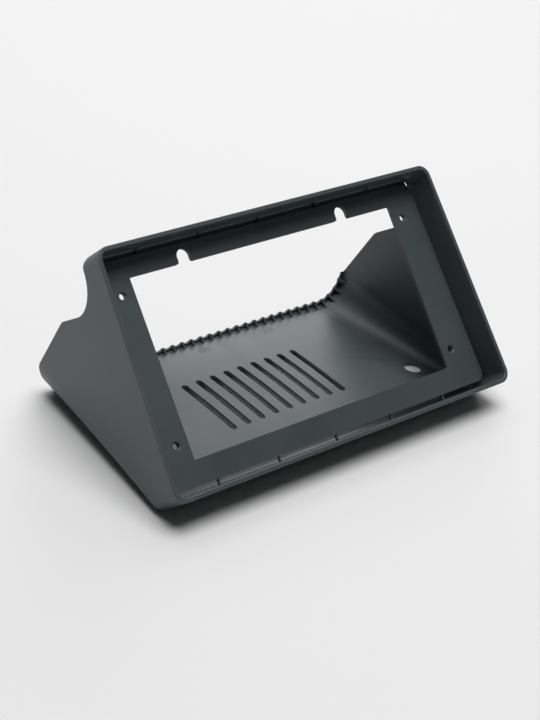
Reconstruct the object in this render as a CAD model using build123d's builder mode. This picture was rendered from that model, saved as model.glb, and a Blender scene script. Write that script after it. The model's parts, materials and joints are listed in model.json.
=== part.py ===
from build123d import *
from math import cos, radians, sin, tan
import os

# Injection moulded housing for a tilted 7 inch display: one piece, open at the back.
# X runs across the face, +Y runs from the face to the back, +Z is up. The origin is
# on the ground at the middle of the width and the depth.

# Face: a flat rim that leans back, with the display panel set into it
lean = 43.5  # of the face from the vertical
face_h = 115.0  # up the slope
half_w = 100.3  # from the centre plane to the side wall, at the middle of the face
foot_z = 16.8  # the rim's lower front edge above the ground
wall = 2.0
rim_r = 6.0  # outside corners of the rim
lip_edge = 0.4  # rounding of the rim's front edges

# Body behind the face
depth = 120.0
side_draft = 3.0  # the side walls close in towards the back
floor_t = 1.6
floor_rise = 4.0  # height of the crowned floor at its middle
foot_r = (3.0, 13.0, 17.9)  # side wall to floor, outside: front, middle and rear

# Side wall's rear outline, as depth behind the face plane and height up the face
shoulder = (50.9, 37.3)
slant = radians(18.5)  # fall of the rear edge below the shoulder, from the face's normal
waist_v = 33.1  # where the shoulder's line meets the panel's back
top_rear_r = 4.0
waist_r = 17.0
knee_r = 8.0

# Display panel
recess = 14.2  # from the rim's front to the panel's front
panel_t = 1.8
channel = 2.7  # open gap above and below the panel
side_gap = 0.7  # open gap beside it
panel_r = 4.5
bridge_t = 1.0  # bridges that carry the panel in the rim
bridge_down = 0.6  # they start this far below the panel's front
bridge_pitch_x = 34.65
bridge_pitch_y = 41.5

# Window in the panel, with two notches in its upper edge
window_w = 156.0
window_top = 43.6
window_bottom = -41.4
window_r = 0.6
notch_x = 47.3
notch_w = 7.0
notch_top = 50.2
notch_mouth_r = 1.2

# Screw holes of the panel
screw_r = 1.6
screw_sink_r = 2.1
screw_x = 84.4
screw_top = 36.5
screw_bottom = -33.0

# Floor openings
slot_count = 9
slot_pitch = 8.5
slot_w = 3.3
slot_len = 42.0
slot_y = 7.0  # middle of the slots
cable_r = 4.75
cable_x = 83.0
cable_y = -12.0

# Upturned lip and its gussets along the rear edge of the floor
lip_t = 1.2
lip_h = 3.0
gusset_t = 1.0
gusset_h = 4.0
gusset_len = 4.0
gusset_pitch = 5.85
gusset_count = 27  # along the straight part of the edge
corner_gussets = 4  # round each corner
scallop_deep = 1.0  # of the lip's upper edge between the gussets

# Places that follow from the sizes above
tilt = radians(lean)
front_y = -depth / 2
rear_y = depth / 2
face_y = front_y + face_h / 2 * sin(tilt)
face_z = foot_z + face_h / 2 * cos(tilt)
face = Plane(origin=(0, face_y, face_z), x_dir=(1, 0, 0), z_dir=(0, -cos(tilt), sin(tilt)))
panel_back = recess + panel_t
over = 5.0  # how far the cutting bodies stand past the housing


def side(back, up):
    """Point of the side view, from the depth behind the face and the height up it."""
    y = face_y + back * cos(tilt) + up * sin(tilt)
    z = face_z - back * sin(tilt) + up * cos(tilt)
    return (y, z)


def half_width(y):
    """Outside half width at a place along the depth."""
    return half_w - (y - face_y) * tan(radians(side_draft))


def cross_section(y, rise, corner_r, inset, lift):
    """Closed section across the body: upright walls, crowned floor and rounded feet.

    The floor's arc ends below the feet, so that the feet's lowest line stays level."""
    half = half_width(y) - inset
    r = corner_r - inset
    with BuildSketch(Plane.XZ.offset(-y)) as section:
        with BuildLine():
            if rise:
                arc_r = ((half - r) ** 2 + rise**2 - 2 * r * rise) / (2 * rise)
                base = lift + rise - arc_r + (arc_r**2 - half**2) ** 0.5
                ThreePointArc((half, base), (0, lift + rise), (-half, base))
            else:
                base = lift
                Line((half, base), (-half, base))
            Polyline((-half, base), (-half, 2 * face_z), (half, 2 * face_z), (half, base))
        make_face()
        fillet(section.vertices().group_by(Axis.Y)[0], r)
    return section.sketch


def block(inset, lift, ahead):
    """Body between the side walls, the rim's top and underside and the floor.

    inset is taken off each wall, lift off the floor, and ahead is added to the front."""
    up = face_h / 2 - inset
    places = (front_y - over, 0, rear_y + over)
    rises = (0, floor_rise, 0)
    far = (rear_y + over - side(0, up)[0]) / cos(tilt)
    ground = (side(0, -up)[1] + over) / sin(tilt)
    with BuildPart() as body:
        for y, rise, corner_r in zip(places, rises, foot_r):
            add(cross_section(y, rise, corner_r, inset, lift))
        loft()
        with BuildSketch(Plane.YZ):
            with BuildLine():
                Polyline(
                    side(ground, -up),
                    side(-ahead, -up),
                    side(-ahead, up),
                    side(far, up),
                    (rear_y + over, -over),
                    side(ground, -up),
                )
            make_face()
        extrude(amount=1.2 * half_w, both=True, mode=Mode.INTERSECT)
        up_slope = Axis(face.origin, face.y_dir)
        underside = body.faces().sort_by(up_slope)[0]
        top = body.faces().sort_by(up_slope)[-1]
        ends = underside.edges().sort_by(Axis.Y)[:1] + top.edges().filter_by(Axis.X)
        corners = (underside.edges() + top.edges()) - ends
        fillet(corners, rim_r - inset)
    return body.part


# Corners of the rear outline
rear_fall = (rear_y - side(*shoulder)[0]) / cos(tilt + slant)
rear_corner = side(shoulder[0] + rear_fall * cos(slant), shoulder[1] - rear_fall * sin(slant))

# Space inside the walls, open in front and behind, with the rear lip left standing in it
with BuildPart() as inside:
    add(block(wall, floor_t, over))
    with BuildSketch(Plane.XZ.offset(lip_t - rear_y)):
        Rectangle(3 * half_w, 6 * half_w)
        add(cross_section(rear_y, 0, foot_r[2], wall + lip_h, floor_t + lip_h), mode=Mode.SUBTRACT)
    extrude(amount=-2 * over, mode=Mode.SUBTRACT)

# Display panel with its window, notches and screw holes
panel_top = face_h / 2 - wall - channel
panel_plane = face.offset(-panel_back)
normal = Axis(face.origin, face.z_dir)


def panel_half(up):
    """Half width of the panel at a height up the face."""
    return half_width(side(panel_back, up)[0]) - wall - side_gap


with BuildPart() as panel:
    with BuildSketch(panel_plane) as plate:
        with BuildLine():
            Polyline(
                (-panel_half(-panel_top), -panel_top),
                (panel_half(-panel_top), -panel_top),
                (panel_half(panel_top), panel_top),
                (-panel_half(panel_top), panel_top),
                close=True,
            )
        make_face()
        fillet(plate.vertices(), panel_r)
    extrude(amount=panel_t)
    with BuildSketch(panel_plane) as window:
        with Locations((0, (window_top + window_bottom) / 2)):
            Rectangle(window_w, window_top - window_bottom)
        fillet(window.vertices(), window_r)
        with Locations((-notch_x, window_top), (notch_x, window_top)):
            SlotOverall(2 * (notch_top - window_top), notch_w, rotation=90)
        mouths = window.vertices().filter_by(
            lambda v: abs(v.Y - window_top) < 0.1 and abs(abs(v.X) - notch_x) < notch_w
        )
        fillet(mouths, notch_mouth_r)
    extrude(amount=panel_t, mode=Mode.SUBTRACT)
    with BuildSketch(panel_plane):
        with Locations(*[(x, y) for x in (-screw_x, screw_x) for y in (screw_bottom, screw_top)]):
            Circle(screw_r)
    extrude(amount=panel_t, mode=Mode.SUBTRACT)
    holes = panel.edges().filter_by(
        lambda e: e.geom_type == GeomType.CIRCLE and abs(e.radius - screw_r) < 0.01
    )
    chamfer(holes.group_by(normal)[-1], screw_sink_r - screw_r)

# One gusset of the rear lip, standing on the bottom line of the section
with BuildPart() as gusset:
    with BuildSketch(Plane.YZ):
        with BuildLine():
            Polyline(
                (rear_y - lip_t / 2, floor_t / 2),
                (rear_y - lip_t - gusset_len, floor_t / 2),
                (rear_y - lip_t - gusset_len, floor_t),
                (rear_y - lip_t / 2, floor_t + gusset_h),
                close=True,
            )
        make_face()
    extrude(amount=gusset_t / 2, both=True)

# Scallop between two gussets: a round bar that dips into the lip's upper edge
scallop_r = ((gusset_pitch - gusset_t) ** 2 / 4 + scallop_deep**2) / (2 * scallop_deep)
with BuildPart() as scallop:
    with BuildSketch(Plane.XZ.offset(lip_t - rear_y)):
        with Locations((0, floor_t + lip_h - scallop_deep + scallop_r)):
            Circle(scallop_r)
    extrude(amount=-over)

rear_r = foot_r[2]
rear_straight = half_width(rear_y) - rear_r


def along_rear(steps):
    """Place on the rear edge, in half pitches from its middle, round the corners too."""
    run = steps * gusset_pitch / 2
    past = abs(run) - rear_straight
    if past <= 0:
        return Location((run, 0, 0))
    turn = past / radians(1) / (rear_r - floor_t)
    turn, corner = (-turn, rear_straight) if run > 0 else (turn, -rear_straight)
    return Location((corner, 0, rear_r), (0, turn, 0)) * Location((0, 0, -rear_r))


last = gusset_count - 1 + 2 * corner_gussets
gusset_places = [along_rear(i) for i in range(-last, last + 1, 2)]
scallop_places = [along_rear(i) for i in range(-last - 1, last + 2, 2)]

# Housing: walls trimmed to the rear outline, then the panel, its bridges and the openings
with BuildPart() as housing:
    add(block(0, 0, 0))
    with BuildSketch(Plane.YZ):
        with BuildLine():
            FilletPolyline(
                side(-over, face_h / 2),
                side(panel_back, face_h / 2),
                side(panel_back, waist_v),
                side(*shoulder),
                rear_corner,
                (rear_y, -over),
                radius=(top_rear_r, waist_r, knee_r, knee_r),
            )
            Polyline(
                (rear_y, -over), (front_y - over, -over), side(-over, -face_h / 2), side(-over, face_h / 2)
            )
        make_face()
    extrude(amount=1.2 * half_w, both=True, mode=Mode.INTERSECT)
    add(inside.part, mode=Mode.SUBTRACT)
    add(panel.part)
    with BuildSketch(panel_plane):
        for x in range(-2, 3):
            for y in (-1, 1):
                with Locations((x * bridge_pitch_x, y * (panel_top + channel / 2))):
                    Rectangle(bridge_t, channel + wall / 2)
        for y in range(-1, 2):
            for x in (-1, 1):
                up = y * bridge_pitch_y
                with Locations((x * (panel_half(up) + side_gap / 2), up)):
                    Rectangle(side_gap + wall / 2, bridge_t)
    extrude(amount=panel_t - bridge_down)
    with Locations(*gusset_places):
        add(gusset.part)
    with Locations(*scallop_places):
        add(scallop.part, mode=Mode.SUBTRACT)
    with BuildSketch(Plane.XY) as openings:
        with Locations((0, slot_y)):
            with GridLocations(slot_pitch, 0, slot_count, 1):
                SlotOverall(slot_len, slot_w, rotation=90)
        with Locations((cable_x, cable_y)):
            Circle(cable_r)
    extrude(amount=floor_t + floor_rise + over, mode=Mode.SUBTRACT)
    rim = housing.faces().filter_by(GeomType.PLANE).sort_by(normal)[-1]
    fillet(rim.edges(), lip_edge)

os.makedirs("parts", exist_ok=True)
housing.part.label = "housing"
export_step(housing.part, "parts/housing.step")
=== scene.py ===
# %% [markdown]
# # Housing for a tilted display
# The object is one injection moulded shell: a leaning rim with a recessed display
# panel, drafted side walls, a crowned floor with vents and a row of gussets along
# the back. Its exact form comes from the CAD model, which stays as it is. This
# notebook gives it the finish of the moulding, the small witness marks that the
# mould leaves, and soft studio light. Lengths are in metres, +Z is up.

import json

import bpy
import numpy as np
from mathutils import Matrix, Vector


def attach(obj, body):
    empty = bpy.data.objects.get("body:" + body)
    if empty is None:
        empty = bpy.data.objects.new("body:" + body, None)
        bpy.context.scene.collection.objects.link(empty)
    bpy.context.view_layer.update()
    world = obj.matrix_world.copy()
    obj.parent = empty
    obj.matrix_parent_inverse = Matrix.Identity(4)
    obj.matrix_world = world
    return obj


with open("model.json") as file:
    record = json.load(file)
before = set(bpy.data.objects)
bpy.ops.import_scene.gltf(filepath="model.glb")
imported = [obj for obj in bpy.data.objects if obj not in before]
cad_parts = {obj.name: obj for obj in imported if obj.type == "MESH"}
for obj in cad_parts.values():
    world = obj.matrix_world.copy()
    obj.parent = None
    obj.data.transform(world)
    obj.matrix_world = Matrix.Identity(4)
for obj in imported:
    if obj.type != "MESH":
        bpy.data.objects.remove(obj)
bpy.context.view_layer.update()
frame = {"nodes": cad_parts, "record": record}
housing = frame["nodes"]["housing"]
mm = 0.001

# %% [markdown]
# ## Camera
# The camera stands in front of the left side, above the part, and looks down on
# the open recess. It is turned a little about its own line of sight, so it is set
# by its right-hand and forward directions and not by a target with a level horizon.
# Depth of field stays off.

# %% Camera
camera_data = bpy.data.cameras.new("camera")
camera_data.sensor_fit = "VERTICAL"
camera_data.sensor_width = 36
camera_data.sensor_height = 36
camera_data.lens = 80.14
camera = bpy.data.objects.new("camera", camera_data)
bpy.context.scene.collection.objects.link(camera)
bpy.context.scene.camera = camera

right = Vector((0.77284, -0.62247, 0.12352))
forward = Vector((0.58099, 0.61571, -0.53231))
up = right.cross(forward)
turn = Matrix((right, up, -forward)).transposed().to_4x4()
camera.matrix_world = Matrix.Translation((-0.44875, -0.46962, 0.43260)) @ turn
print("camera is", round((camera.location - Vector((0, 0, 0.05))).length, 3), "m away")

# %% [markdown]
# ## Writing a material as sums
# A node material is a graph of small operations. Drawn by hand it gets hard to
# follow, so a wire is wrapped in a class that turns +, - and * into Math nodes.
# A formula then reads as it would on paper, and the graph is still made of
# ordinary nodes.

# %% Wires with arithmetic
class Wire:
    """A number that varies over the surface. Arithmetic on it adds Math nodes."""

    def __init__(self, finish, socket):
        self.finish = finish
        self.socket = socket

    def math(self, operation, *values):
        return self.finish.node("ShaderNodeMath", {"operation": operation}, *values)

    def __add__(self, other):
        return self.math("ADD", self, other)

    def __sub__(self, other):
        return self.math("SUBTRACT", self, other)

    def __rsub__(self, other):
        return self.math("SUBTRACT", other, self)

    def __mul__(self, other):
        return self.math("MULTIPLY", self, other)

    def __abs__(self):
        return self.math("ABSOLUTE", self)

    __radd__ = __add__
    __rmul__ = __mul__

    def rise(self, low, high):
        """0 below low, 1 above high and a smooth step between. low may be the larger."""
        settings = {"interpolation_type": "SMOOTHSTEP"}
        return self.finish.node("ShaderNodeMapRange", settings, self, low, high)


class Finish:
    """A material under construction: its tree, its place on the object, its shader."""

    def __init__(self, name, **shader):
        self.material = bpy.data.materials.new(name)
        self.material.use_nodes = True
        self.tree = self.material.node_tree
        self.shader = self.tree.nodes["Principled BSDF"]
        for socket, value in shader.items():
            self.shader.inputs[socket.replace("_", " ")].default_value = value
        where = self.tree.nodes.new("ShaderNodeTexCoord")
        self.place = Wire(self, where.outputs["Object"])
        self.facing = Wire(self, where.outputs["Normal"])

    def node(self, kind, settings, *values, output=0):
        """Any node: its settings come first, then its inputs in order, None to skip."""
        made = self.tree.nodes.new(kind)
        for name, value in settings.items():
            setattr(made, name, value)
        for socket, value in zip(made.inputs, values):
            self.feed(socket, value)
        return Wire(self, made.outputs[output])

    def feed(self, socket, value):
        if isinstance(value, Wire):
            self.tree.links.new(value.socket, socket)
        elif value is not None:
            socket.default_value = value

    def axes(self, vector):
        """The x, y and z of a vector as three wires."""
        return [self.node("ShaderNodeSeparateXYZ", {}, vector, output=i) for i in range(3)]

    def noise(self, scale, detail=2.0, roughness=0.5, stretch=(1, 1, 1)):
        """Smooth noise about 0, from about -0.5 to 0.5, with scale cells per metre."""
        place = self.node("ShaderNodeVectorMath", {"operation": "MULTIPLY"}, self.place, stretch)
        made = self.node("ShaderNodeTexNoise", {}, place, None, scale, detail, roughness)
        return made - 0.5

    def mix(self, factor, one, other):
        """Colour between one and the other."""
        made = self.tree.nodes.new("ShaderNodeMix")
        made.data_type = "RGBA"
        for name, value in (("Factor_Float", factor), ("A_Color", one), ("B_Color", other)):
            socket = next(s for s in made.inputs if s.identifier == name)
            self.feed(socket, value)
        socket = next(s for s in made.outputs if s.identifier == "Result_Color")
        return Wire(self, socket)


print("wires and finishes are ready")

# %% [markdown]
# ## Moulded plastic
# The part is blue-grey plastic with a satin face. Four things make that finish: a
# matt grain a third of a millimetre wide, a soft unevenness of the gloss as from melt
# that cooled at different rates, fine flow streaks on the floor below the gussets,
# and a knit line there where two fronts of melt met. Image textures could hold them,
# but a formula on the part's own coordinates has the right scale everywhere and no
# seam.

# %% Colours and places of the finish
DARK = (0.050, 0.061, 0.066, 1)
LIGHT = (0.070, 0.084, 0.090, 1)
STREAK = (0.075, 0.088, 0.095, 1)
SHADE = (0.018, 0.023, 0.027, 1)
FLOOR_KNIT = ((0.052, 0.012), (0.081, -0.004))  # ends of the floor's knit line, x and y

plastic = Finish("moulded_plastic", IOR=1.5, Specular_IOR_Level=0.5)
x, y, z = plastic.axes(plastic.place)
level = plastic.axes(plastic.facing)[2]
on_floor = level.rise(0.80, 0.95) * z.rise(14 * mm, 9 * mm)
print("floor mask reads the facing and the height")

# %% Grain, mottle and streaks
GRAIN_CELLS = 2600  # in a metre
grain = plastic.noise(GRAIN_CELLS, detail=3, roughness=0.6)
mottle = plastic.noise(22, detail=3)
cloud = plastic.noise(90, detail=2)
streaks = plastic.noise(160, detail=2, stretch=(1, 0.09, 1))
near_ribs = on_floor * y.rise(20 * mm, 52 * mm)
print("grain cells are", round(1000 / GRAIN_CELLS, 2), "mm wide")

# %% Knit line of the floor
# A knit line is the set of places within a hair of a straight segment: the distance
# across the segment makes it thin, and the run along it fades it out at both ends.
(x0, y0), (x1, y1) = FLOOR_KNIT
run_length = float(np.hypot(x1 - x0, y1 - y0))
along_x, along_y = (x1 - x0) / run_length, (y1 - y0) / run_length
along = (x - x0) * along_x + (y - y0) * along_y
across = abs((x - x0) * along_y - (y - y0) * along_x + cloud * 0.8 * mm)
knit = across.rise(0.5 * mm, 0.15 * mm) * along.rise(0, 6 * mm)
knit = knit * along.rise(run_length, run_length - 8 * mm) * on_floor
print("knit line is", round(run_length * 1000, 1), "mm long")

# %% Put the finish together
tone = (mottle * 0.55 + cloud * 0.25 + 0.5).rise(0.15, 0.85)
colour = plastic.mix(tone, DARK, LIGHT)
colour = plastic.mix((streaks + 0.5).rise(0.45, 0.75) * near_ribs * 0.55, colour, STREAK)
colour = plastic.mix(knit * 0.5, colour, SHADE)
plastic.feed(plastic.shader.inputs["Base Color"], colour)
rough = 0.42 + mottle * 0.10 + grain * 0.12 - near_ribs * (streaks + 0.5) * 0.10
plastic.feed(plastic.shader.inputs["Roughness"], rough)
height = grain + cloud * 0.6 - knit * 1.5
bump = plastic.tree.nodes.new("ShaderNodeBump")
bump.inputs["Strength"].default_value = 0.35
bump.inputs["Distance"].default_value = 0.03 * mm
plastic.feed(bump.inputs["Height"], height)
plastic.feed(plastic.shader.inputs["Normal"], Wire(plastic, bump.outputs["Normal"]))
housing.data.materials.clear()
housing.data.materials.append(plastic.material)
print("moulded_plastic has", len(plastic.tree.nodes), "nodes")

# %% [markdown]
# ## Ejector marks
# Round pins push the cooled part off the tool, and each leaves a flat disc a hair
# proud of the floor, here with the pin's milled hatching. They could be painted
# on, but a real step catches the light at its edge, so each mark is a thin disc
# with a hatched top and a skirt that goes down into the floor.

# %% Surfaces worked out with numpy
def grid_mesh(name, points, closed):
    """Mesh of a grid of points with rows x columns x 3; closed joins the last column."""
    rows, columns = points.shape[:2]
    index = np.arange(rows * columns).reshape(rows, columns)
    if closed:
        index = np.concatenate([index, index[:, :1]], axis=1)
    faces = np.stack([index[:-1, :-1], index[:-1, 1:], index[1:, 1:], index[1:, :-1]], -1)
    mesh = bpy.data.meshes.new(name)
    mesh.from_pydata(points.reshape(-1, 3), [], faces.reshape(-1, 4).tolist())
    mesh.validate()
    mesh.update()
    return mesh


def piece(mesh, material, smooth=True):
    """Object at the origin that rides on the part."""
    made = bpy.data.objects.new(mesh.name, mesh)
    bpy.context.scene.collection.objects.link(made)
    mesh.materials.append(material)
    mesh.polygons.foreach_set("use_smooth", [smooth] * len(mesh.polygons))
    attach(made, "root")
    return made


# %% Pin marks on the floor
PIN_R = 3.5 * mm
PIN_PROUD = 0.08 * mm
PIN_PLACES = ((-4 * mm, 49 * mm), (38 * mm, 49 * mm))
PIN_SKIRT = 0.25 * mm  # how far the skirt goes down into the floor
HATCH = 0.9 * mm
HATCH_DEPTH = 0.02 * mm
RAY_HEIGHT = 0.02


def pin_mark(name, cx, cy):
    """Disc about (cx, cy): r grows from the middle to the rim, where the top turns
    into a skirt. The height is proud plus the hatching's depth times the sine of
    (x + y) over its pitch, and the floor's slope under the disc is taken from two rays."""
    down = Vector((0, 0, -1))
    hits = [housing.ray_cast(Vector((cx + dx, cy, RAY_HEIGHT)), down)[1] for dx in (-PIN_R, PIN_R)]
    slope = (hits[1].z - hits[0].z) / (2 * PIN_R)
    middle = (hits[0].z + hits[1].z) / 2
    share = np.array([0.001, *np.linspace(0.06, 0.97, 22), 1.0, 1.0])[:, None]
    turn = np.linspace(0, 2 * np.pi, 72, endpoint=False)[None, :]
    px, py = share * PIN_R * np.cos(turn), share * PIN_R * np.sin(turn)
    wave = np.sin(2 * np.pi * (px + py) / (HATCH * np.sqrt(2)))
    pz = PIN_PROUD + HATCH_DEPTH * wave * (share < 0.98)
    pz[-1] = -PIN_SKIRT
    points = np.stack([cx + px, cy + py, middle + slope * px + pz], -1)
    return piece(grid_mesh(name, points, closed=True), plastic.material, smooth=False)


for number, (cx, cy) in enumerate(PIN_PLACES, 1):
    mark = pin_mark(f"ejector_mark_{number}", cx, cy)
    print(mark.name, "at", round(cx / mm), round(cy / mm), "has", len(mark.data.polygons), "faces")

# %% [markdown]
# ## Closed channel above the panel
# No light comes through the groove between the panel and the rim's top: it stays
# dark, as if a thin rail behind it joined the two. It could be cut as a pocket, but a
# rail as a swept bar is the same form with fewer faces. It follows the face's own
# axes: u across, v up the slope and w out of the face.

# %% Axes of the face and the rail
panel_mount = next(m for m in frame["record"]["mounts"] if m["name"] == "panel_face")
W_AXIS = np.array(panel_mount["axis"], float)
V_AXIS = np.array([0, W_AXIS[2], -W_AXIS[1]])
PANEL_FRONT = float(np.array(panel_mount["pos_m"]) @ W_AXIS)
FACE_MIDDLE = np.array([0, -20.42 * mm, 58.51 * mm])
MIDDLE_V = float(FACE_MIDDLE @ V_AXIS)
PANEL_T = 1.8 * mm
RAIL_T = 1.0 * mm
RAIL_ROWS = 25
SEAT = 0.05 * mm  # how far a piece reaches into the panel's back


def on_face(u, v, w):
    """Points from places across (u), up the slope (v) and out from the panel's
    front (w): u times X, plus v times the slope's axis, plus w times the normal."""
    u, v, w = np.broadcast_arrays(u, v, w)
    flat = np.stack([u, np.zeros_like(u), np.zeros_like(u)], -1)
    return flat + (v + MIDDLE_V)[..., None] * V_AXIS + (w + PANEL_FRONT)[..., None] * W_AXIS


def rail(name, v_low, v_high, half_low, half_high):
    """Bar with a rectangular section, carried along u from -half to half, where the
    half length grows in a straight line from the low side to the high side. Its two
    ends close to points inside the bar's own end faces."""
    front, back = -PANEL_T + SEAT, -PANEL_T - RAIL_T
    section = [
        (v_low, front, half_low),
        (v_high, front, half_high),
        (v_high, back, half_high),
        (v_low, back, half_low),
    ]
    v, w, half = (np.array(part)[None, :] for part in zip(*section))
    share = np.array([-1, *np.linspace(-1, 1, RAIL_ROWS), 1])[:, None]
    size = np.array([0, *[1] * RAIL_ROWS, 0])[:, None]
    middle_v, middle_w = v.mean(), w.mean()
    v_all = middle_v + (v - middle_v) * size
    w_all = middle_w + (w - middle_w) * size
    points = on_face(share * half, v_all, w_all)
    return piece(grid_mesh(name, points, closed=True), plastic.material, smooth=False)


top_rail = rail("channel_rail_top", 51.0 * mm, 56.0 * mm, 95.4 * mm, 94.6 * mm)
print(top_rail.name, "has", len(top_rail.data.polygons), "faces")

# %% [markdown]
# ## Screw bosses
# The screw holes are deeper than the plate is thick, so each one goes on through a
# short collar behind it. From the front only its bore shows, which makes the hole
# look deeper.

# %% Collars behind the screw holes
SCREW_R = 1.6 * mm
COLLAR_R = 3.2 * mm
COLLAR_H = 0.9 * mm


def collar(name, u, v):
    """Ring with a rectangular section turned about the hole's axis: four radii and
    depths (bore front, bore back, outside back, outside front) round a full turn."""
    radius = np.array([SCREW_R, SCREW_R, COLLAR_R, COLLAR_R])[:, None]
    front, back = -PANEL_T + SEAT, -PANEL_T - COLLAR_H
    depth = np.array([front, back, back, front])[:, None]
    turn = np.linspace(0, 2 * np.pi, 40, endpoint=False)[None, :]
    points = on_face(u + radius * np.cos(turn), v + radius * np.sin(turn), depth)
    points = np.concatenate([points, points[:1]])
    return piece(grid_mesh(name, points, closed=True), plastic.material)


for row, v in (("bottom", -33.0 * mm), ("top", 36.5 * mm)):
    for hand, u in (("left", -84.4 * mm), ("right", 84.4 * mm)):
        print(collar(f"screw_collar_{row}_{hand}", u, v).name)

# %% [markdown]
# ## Floor
# A plain pale sweep carries the part and takes its soft shadow. Seen by the camera
# the floor has the tone of pale studio paper, which comes from its colour and not
# from more light on the part.

# %% Floor of the studio
paper = Finish("studio_paper", Roughness=0.9)
paper.shader.inputs["Specular IOR Level"].default_value = 0.0
fibre = paper.noise(900, detail=2)
paper_colour = paper.mix(fibre * 0.3 + 0.5, (0.742, 0.742, 0.742, 1), (0.752, 0.752, 0.752, 1))
paper.feed(paper.shader.inputs["Base Color"], paper_colour)
half = 3.0
reach = np.linspace(-half, half, 25)
gx, gy = np.meshgrid(reach, reach)
ground = grid_mesh("studio_floor", np.stack([gx, gy, np.zeros_like(gx)], -1), closed=False)
ground.materials.append(paper.material)
floor = bpy.data.objects.new("studio_floor", ground)
bpy.context.scene.collection.objects.link(floor)
print("floor is", 2 * half, "m wide")

# %% [markdown]
# ## Light
# One wide softbox hangs over the part and does most of the work: it lights the
# floor of the shell and leaves the walls of the recess dark. Three weaker ones
# behind it draw a sheen on the floor. Each is given by its direction and distance,
# so that what it adds to the picture can be judged by itself.

# %% Lamps and sky
LAMPS = (  # name, azimuth, elevation, distance, size, power
    ("overhead", 0, 85, 2.4, 1.66, 53.0),
    ("back_right", 135, 22, 2.0, 1.38, 11.5),
    ("back_high", 180, 55, 2.0, 1.38, 7.0),
    ("right_high", 120, 55, 2.0, 1.38, 4.2),
)
AIM = Vector((0, 0, 0.04))
for name, azimuth, elevation, distance, size, power in LAMPS:
    lamp_data = bpy.data.lights.new(name, "AREA")
    lamp_data.shape = "DISK"
    lamp_data.size = size
    lamp_data.energy = power
    lamp = bpy.data.objects.new(name, lamp_data)
    bpy.context.scene.collection.objects.link(lamp)
    a, e = np.radians(azimuth), np.radians(elevation)
    out = Vector((np.sin(a) * np.cos(e), -np.cos(a) * np.cos(e), np.sin(e)))
    lamp.location = AIM + out * distance
    lamp.visible_camera = False
    lamp.rotation_euler = out.to_track_quat("Z", "Y").to_euler()

world = bpy.data.worlds.new("studio_sky")
bpy.context.scene.world = world
world.use_nodes = True
sky = world.node_tree
background = sky.nodes["Background"]
background.inputs["Color"].default_value = (1.0, 1.0, 1.0, 1)
background.inputs["Strength"].default_value = 0.04
seen = sky.nodes.new("ShaderNodeBackground")
seen.inputs["Color"].default_value = (0.863, 0.866, 0.870, 1)
seen.inputs["Strength"].default_value = 1.0
ray = sky.nodes.new("ShaderNodeLightPath")
choose = sky.nodes.new("ShaderNodeMixShader")
sky.links.new(ray.outputs["Is Camera Ray"], choose.inputs[0])
sky.links.new(background.outputs[0], choose.inputs[1])
sky.links.new(seen.outputs[0], choose.inputs[2])
sky.links.new(choose.outputs[0], sky.nodes["World Output"].inputs["Surface"])
bpy.context.scene.view_settings.view_transform = "Standard"
print(len(LAMPS), "lamps and the sky")
